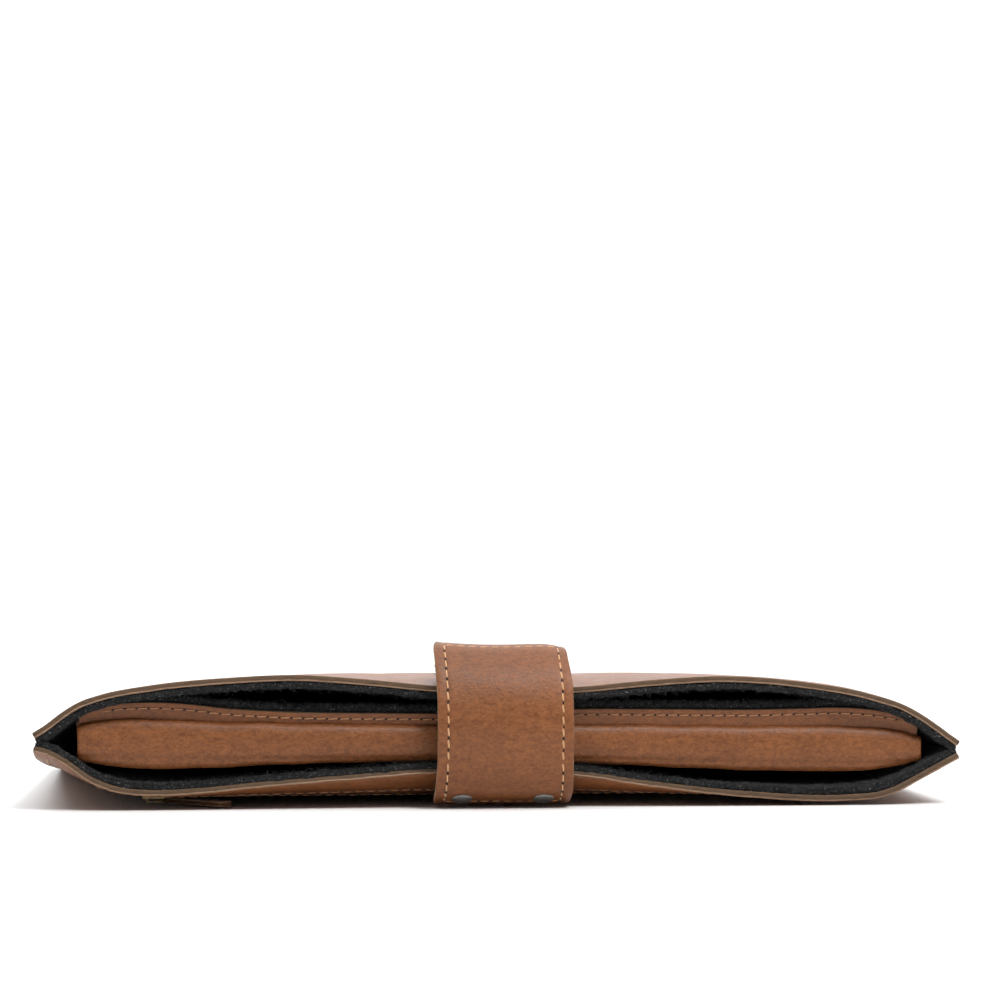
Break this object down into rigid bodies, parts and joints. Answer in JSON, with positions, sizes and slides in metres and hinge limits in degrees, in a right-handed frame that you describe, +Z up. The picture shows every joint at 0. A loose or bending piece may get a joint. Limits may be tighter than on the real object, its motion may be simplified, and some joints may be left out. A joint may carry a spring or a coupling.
{
  "type": "laptop sleeve",
  "caption": "Leather laptop sleeve lined with felt, with a divider, an inner laptop flap, a snap closure strap and a zip pocket.",
  "frame": {"origin": "on the flat underside of the front panel, in the middle of the sleeve's width", "axes": "+Z up out of the surface that the sleeve lies on, -Y out of the mouth, +X to the right seen from the mouth"},
  "size_m": [0.354, 0.2676, 0.0628],
  "materials": {
    "leather": "smooth vegetable-tanned cognac leather, fine grain, satin",
    "dark_leather": "darker split leather, matt",
    "felt": "charcoal wool felt with pale flecks",
    "cloth": "plain dark brown woven tape and pocket cloth",
    "nickel": "dull grey nickel plate",
    "brass": "antique brass, worn"
  },
  "bodies": {
    "sleeve": {"back_panel": "leather", "front_panel": "leather", "back_lining": "felt", "front_lining": "felt", "pocket_bag": "cloth", "divider_leather": "leather", "divider_felt": "felt", "laptop_flap_root": "leather", "strap_root_lining": "dark_leather", "strap_root_leather": "leather", "snap_stud_left": "nickel", "snap_stud_right": "nickel", "zip_tape_front": "cloth", "zip_tape_rear": "cloth", "zip_teeth_front": "brass", "zip_teeth_rear": "brass"},
    "strap": {"strap_lining": "dark_leather", "strap_leather": "leather", "snap_cap_left": "nickel", "snap_cap_right": "nickel", "snap_socket_left": "nickel", "snap_socket_right": "nickel"},
    "flap": {"laptop_flap": "leather", "laptop_flap_felt": "felt"},
    "slider": {"zip_slider": "brass"},
    "pull": {"zip_pull_ring": "brass", "zip_pull_tab": "dark_leather"}
  },
  "joints": [
    {"name": "strap_open", "type": "hinge", "parent": "sleeve", "child": "strap", "pos_m": [0, -0.11, 0.0632], "axis": [-1, 0, 0], "range_deg": [0, 150]},
    {"name": "flap_open", "type": "hinge", "parent": "sleeve", "child": "flap", "pos_m": [0, -0.114, 0.03155], "axis": [-0.9999, 0, 0.0127], "range_deg": [0, 32]},
    {"name": "zip_slide", "type": "slide", "parent": "sleeve", "child": "slider", "axis": [1, 0, 0], "range_m": [0, 0.177]},
    {"name": "pull_swivel", "type": "hinge", "parent": "slider", "child": "pull", "pos_m": [-0.129, -0.088, 0.0013], "axis": [0, 0, 1], "range_deg": [0, 45]}
  ]
}
